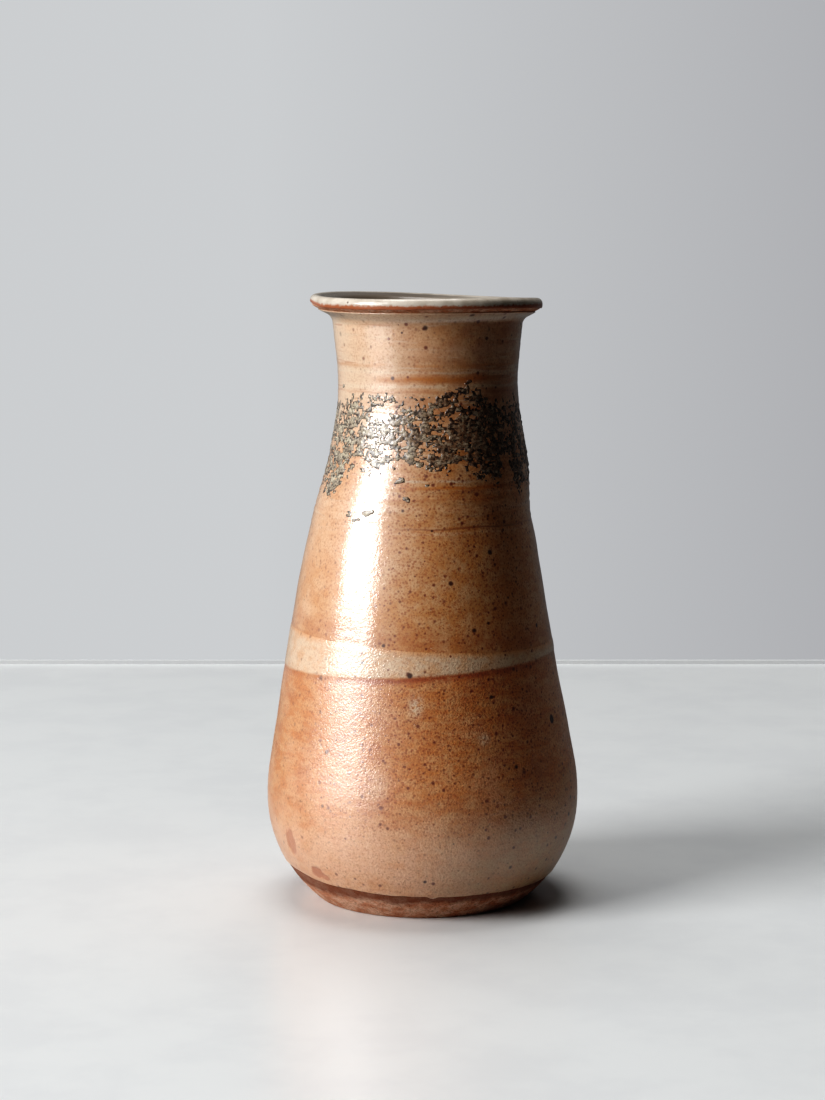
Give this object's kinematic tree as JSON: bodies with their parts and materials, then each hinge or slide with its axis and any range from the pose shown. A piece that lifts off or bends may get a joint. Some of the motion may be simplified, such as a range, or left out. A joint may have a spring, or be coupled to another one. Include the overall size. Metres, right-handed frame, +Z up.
{
  "type": "stoneware vase",
  "caption": "Wheel-thrown stoneware vase with a swelling body, a waisted neck, a flared flange rim, dipped glaze coats and a raised dark crust round the neck.",
  "frame": {"origin": "on the floor under the middle of the foot", "axes": "+Z up along the axis the vase was thrown about, +X to the right of the front, -Y towards the viewer of the front"},
  "size_m": [0.132, 0.132, 0.254],
  "materials": {
    "fired_clay": "bare fired stoneware, reddish brown, matt and grainy",
    "liner_glaze": "pale cream-grey gloss glaze with fine brown specks",
    "orange_glaze": "semi-transparent orange-tan gloss glaze with iron specks",
    "peach_glaze": "semi-transparent orange to peach gloss glaze with iron specks, cream where it is double",
    "oxide_crust": "broken charcoal and olive crust, crawled, with glossy and matt patches"
  },
  "bodies": {
    "root": {"stoneware_body": "fired_clay", "liner_glaze": "liner_glaze", "upper_glaze_coat": "orange_glaze", "lower_glaze_coat": "peach_glaze", "oxide_crust_band": "oxide_crust"}
  },
  "joints": []
}
